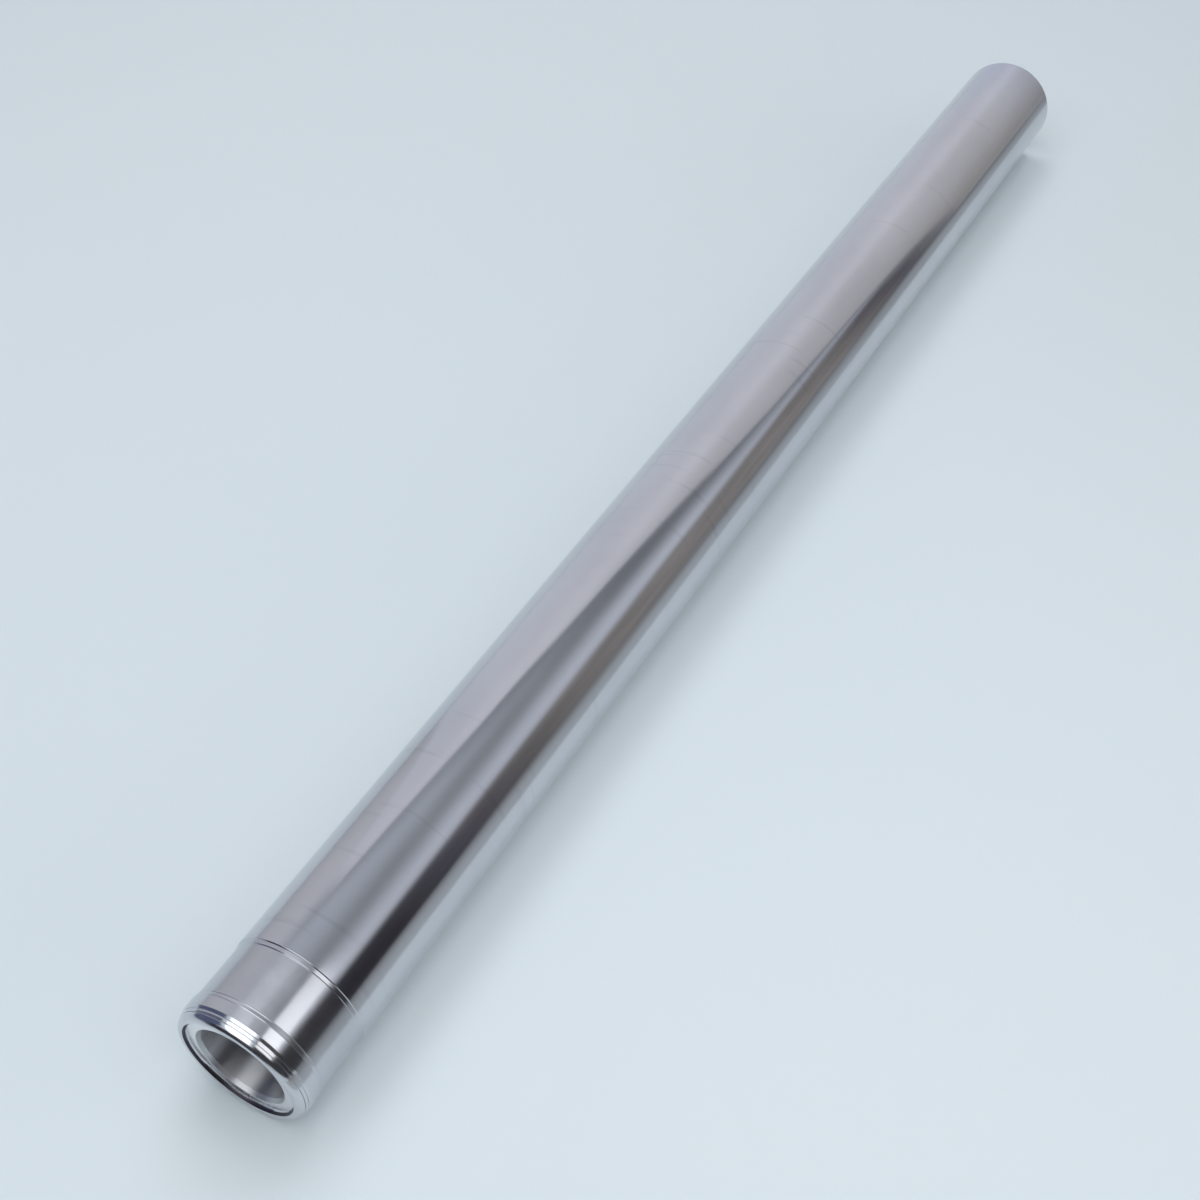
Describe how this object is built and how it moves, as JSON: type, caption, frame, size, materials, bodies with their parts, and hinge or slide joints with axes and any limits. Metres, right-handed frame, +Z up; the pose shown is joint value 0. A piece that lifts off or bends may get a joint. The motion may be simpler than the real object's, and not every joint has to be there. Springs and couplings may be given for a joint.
{
  "type": "fork tube",
  "caption": "Chromed steel inner tube of a telescopic motorcycle fork, with a bush seat and rounded lip at the lower end, a reduced damper-rod hole and a cap thread at the top.",
  "frame": {"origin": "on the tube's axis, at the shoulder where the ground barrel starts and the slide bush stops", "axes": "+X along the tube from the lipped lower end to the threaded top end, +Z up, with the tube lying on its side"},
  "size_m": [0.5655, 0.0409, 0.041],
  "materials": {
    "chromed_steel": "hard chrome, ground and polished, with a satin bush seat"
  },
  "bodies": {
    "root": {"fork_tube": "chromed_steel"}
  },
  "joints": []
}
